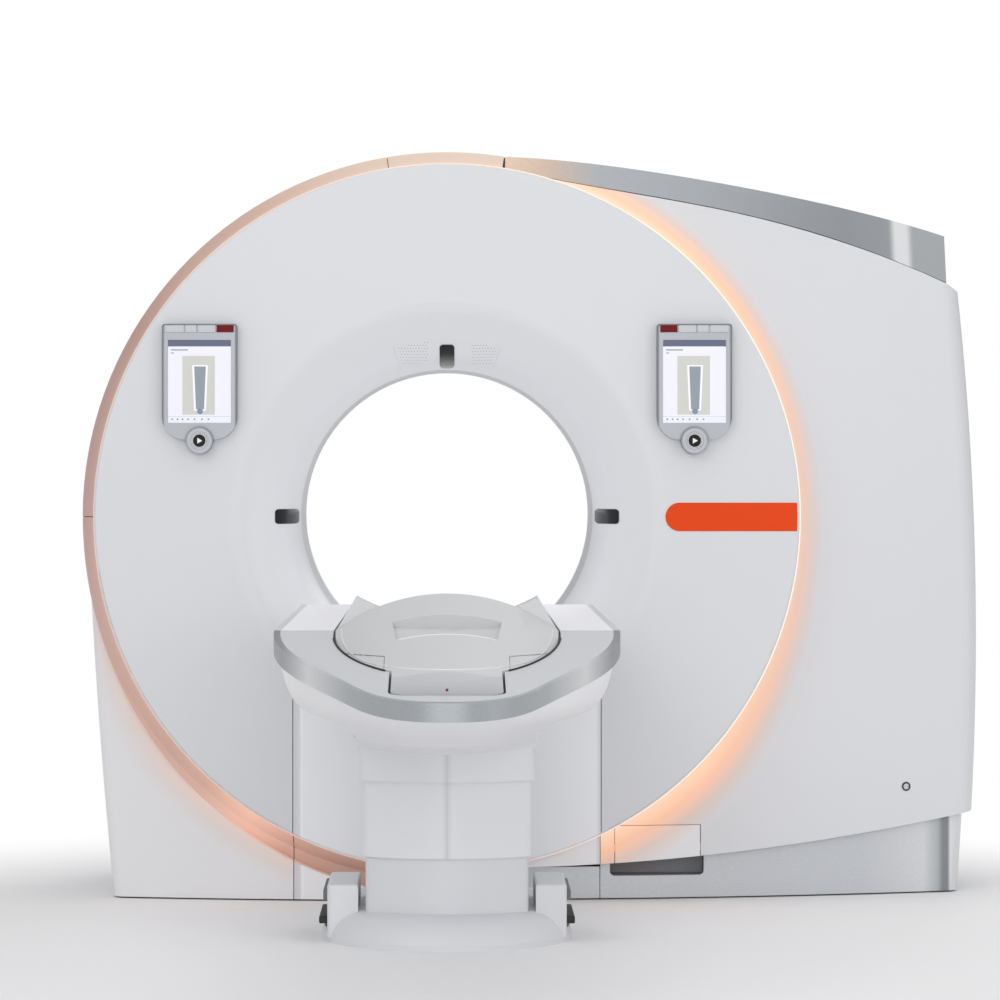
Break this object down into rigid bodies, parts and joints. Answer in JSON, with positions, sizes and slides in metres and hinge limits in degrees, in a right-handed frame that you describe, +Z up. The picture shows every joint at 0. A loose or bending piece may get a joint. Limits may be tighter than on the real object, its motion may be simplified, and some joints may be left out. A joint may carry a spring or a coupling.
{
  "type": "ct scanner",
  "caption": "CT scanner: a round ring gantry with a wide bore and touch panels, and a patient table on a telescoping column",
  "frame": {"origin": "on the floor under the centre of the scan plane", "axes": "+X to the viewer's right, +Y from the table into the gantry, +Z up"},
  "size_m": [2.3733, 3.398, 1.96],
  "materials": {
    "bare_steel": "machined steel",
    "black_glass": "black window",
    "button_black": "black button",
    "cast_alloy": "cast alloy",
    "copper_ring": "contact tracks",
    "cover_white": "painted moulded cover, satin white",
    "dark_metal": "dark painted metal",
    "frame_steel": "painted steel",
    "key_pale": "pale key",
    "key_red": "red key",
    "light": "warm diffuser",
    "liner_white": "plain white liner",
    "lock_steel": "lock barrel",
    "panel_silver": "silver housing",
    "pedal_grey": "grey rubber pad",
    "pedal_rubber": "ribbed rubber",
    "plinth_silver": "brushed silver plinth",
    "rim_rose": "white cover lit rose by the edge light",
    "screen": "lit screen",
    "silver_paint": "brushed silver",
    "silver_rim": "brushed aluminium",
    "stripe_orange": "bare orange strip",
    "table_grey": "pale grey cover",
    "table_white": "satin white cover",
    "trim_grey": "perforated trim"
  },
  "bodies": {
    "structure": {"front_disc_cover": "cover_white", "center_front_panel": "cover_white", "left_lower_cover": "cover_white", "right_cover": "cover_white", "rear_drum_cover": "cover_white", "rear_panels": "cover_white", "bore_liner": "liner_white", "rim_covers": "rim_rose", "top_silver_cap": "silver_paint", "plinth": "plinth_silver", "light_ring": "light", "stripe": "stripe_orange", "laser_windows": "black_glass", "speaker_trim": "trim_grey", "panel_housings": "panel_silver", "panel_screens": "screen", "base_frame": "frame_steel", "levelling_feet": "bare_steel", "bearing_outer_race": "bare_steel", "drive_stator": "dark_metal", "brush_block": "dark_metal", "table_base_frame": "frame_steel", "table_base_cover": "table_white", "column_lower_cover": "table_white"},
    "rotor": {"rotor_drum": "cast_alloy", "bearing_inner_race": "bare_steel", "magnet_ring": "dark_metal", "slip_ring": "copper_ring", "tube_housings": "cast_alloy", "collimators": "dark_metal", "detectors": "frame_steel", "power_units": "frame_steel", "counterweight": "bare_steel"},
    "lift": {"column_upper_cover": "table_white", "table_frame": "frame_steel", "silver_band": "silver_rim", "housing_underbody": "table_white", "top_front_cover": "table_grey", "top_rear_cover": "table_white"},
    "lift_middle": {"column_middle_cover": "table_white", "guide_middle": "bare_steel"},
    "slide": {"slide_carriage": "cast_alloy"},
    "top": {"tabletop": "table_grey", "end_cap": "table_grey"},
    "hatch": {"hatch_flap": "cover_white"},
    "lock": {"cover_lock": "lock_steel"},
    "left_key_1": {"left_key_1": "key_pale"},
    "left_key_2": {"left_key_2": "key_pale"},
    "left_key_3": {"left_key_3": "key_pale"},
    "left_stop_key": {"left_stop_key": "key_red"},
    "left_start_button": {"left_start_button": "button_black"},
    "left_upper_pedal": {"left_upper_pedal": "pedal_grey"},
    "left_lower_pedal": {"left_lower_pedal": "pedal_rubber"},
    "right_key_1": {"right_key_1": "key_pale"},
    "right_key_2": {"right_key_2": "key_pale"},
    "right_key_3": {"right_key_3": "key_pale"},
    "right_stop_key": {"right_stop_key": "key_red"},
    "right_start_button": {"right_start_button": "button_black"},
    "right_upper_pedal": {"right_upper_pedal": "pedal_grey"},
    "right_lower_pedal": {"right_lower_pedal": "pedal_rubber"}
  },
  "joints": [
    {"name": "rotor_spin", "type": "hinge", "parent": "structure", "child": "rotor", "pos_m": [0, 0, 1.005], "axis": [0, 1, 0], "continuous": true},
    {"name": "table_lift", "type": "slide", "parent": "structure", "child": "lift", "axis": [0, 0, 1], "range_m": [-0.29, 0.08]},
    {"name": "lift_middle_slide", "type": "slide", "parent": "structure", "child": "lift_middle", "axis": [0, 0, 1], "range_m": [-0.116, 0.032]},
    {"name": "tabletop_travel", "type": "slide", "parent": "lift", "child": "top", "axis": [0, 1, 0], "range_m": [0, 1.7]},
    {"name": "slide_travel", "type": "slide", "parent": "lift", "child": "slide", "axis": [0, 1, 0], "range_m": [0, 0.85]},
    {"name": "hatch_hinge", "type": "hinge", "parent": "structure", "child": "hatch", "pos_m": [0.55236, -0.36292, 0.196], "axis": [-0.9926, -0.1215, 0], "range_deg": [0, 70]},
    {"name": "lock_turn", "type": "hinge", "parent": "structure", "child": "lock", "pos_m": [1.219, -0.22848, 0.287], "axis": [0.2682, -0.9634, 0], "range_deg": [0, 90]},
    {"name": "left_key_1_press", "type": "slide", "parent": "structure", "child": "left_key_1", "axis": [0, 1, 0], "range_m": [0, 0.0015], "stiffness_N_per_m": 900, "springref_m": -0.001},
    {"name": "left_key_2_press", "type": "slide", "parent": "structure", "child": "left_key_2", "axis": [0, 1, 0], "range_m": [0, 0.0015], "stiffness_N_per_m": 900, "springref_m": -0.001},
    {"name": "left_key_3_press", "type": "slide", "parent": "structure", "child": "left_key_3", "axis": [0, 1, 0], "range_m": [0, 0.0015], "stiffness_N_per_m": 900, "springref_m": -0.001},
    {"name": "left_stop_key_press", "type": "slide", "parent": "structure", "child": "left_stop_key", "axis": [0, 1, 0], "range_m": [0, 0.0015], "stiffness_N_per_m": 900, "springref_m": -0.001},
    {"name": "left_start_button_press", "type": "slide", "parent": "structure", "child": "left_start_button", "axis": [0, 1, 0], "range_m": [0, 0.002], "stiffness_N_per_m": 700, "springref_m": -0.001},
    {"name": "left_upper_pedal_hinge", "type": "hinge", "parent": "structure", "child": "left_upper_pedal", "pos_m": [-0.276, -1.12, 0.112], "axis": [0, -1, 0], "range_deg": [0, 8], "stiffness_Nm_per_rad": 12, "springref_deg": -2.86},
    {"name": "left_lower_pedal_hinge", "type": "hinge", "parent": "structure", "child": "left_lower_pedal", "pos_m": [-0.276, -1.12, 0.052], "axis": [0, -1, 0], "range_deg": [0, 8], "stiffness_Nm_per_rad": 12, "springref_deg": -2.86},
    {"name": "right_key_1_press", "type": "slide", "parent": "structure", "child": "right_key_1", "axis": [0, 1, 0], "range_m": [0, 0.0015], "stiffness_N_per_m": 900, "springref_m": -0.001},
    {"name": "right_key_2_press", "type": "slide", "parent": "structure", "child": "right_key_2", "axis": [0, 1, 0], "range_m": [0, 0.0015], "stiffness_N_per_m": 900, "springref_m": -0.001},
    {"name": "right_key_3_press", "type": "slide", "parent": "structure", "child": "right_key_3", "axis": [0, 1, 0], "range_m": [0, 0.0015], "stiffness_N_per_m": 900, "springref_m": -0.001},
    {"name": "right_stop_key_press", "type": "slide", "parent": "structure", "child": "right_stop_key", "axis": [0, 1, 0], "range_m": [0, 0.0015], "stiffness_N_per_m": 900, "springref_m": -0.001},
    {"name": "right_start_button_press", "type": "slide", "parent": "structure", "child": "right_start_button", "axis": [0, 1, 0], "range_m": [0, 0.002], "stiffness_N_per_m": 700, "springref_m": -0.001},
    {"name": "right_upper_pedal_hinge", "type": "hinge", "parent": "structure", "child": "right_upper_pedal", "pos_m": [0.276, -1.12, 0.112], "axis": [0, 1, 0], "range_deg": [0, 8], "stiffness_Nm_per_rad": 12, "springref_deg": -2.86},
    {"name": "right_lower_pedal_hinge", "type": "hinge", "parent": "structure", "child": "right_lower_pedal", "pos_m": [0.276, -1.12, 0.052], "axis": [0, 1, 0], "range_deg": [0, 8], "stiffness_Nm_per_rad": 12, "springref_deg": -2.86}
  ],
  "couplings": [
    {"joint": "lift_middle_slide", "follows": "table_lift", "ratio": 0.4},
    {"joint": "slide_travel", "follows": "tabletop_travel", "ratio": 0.5}
  ]
}
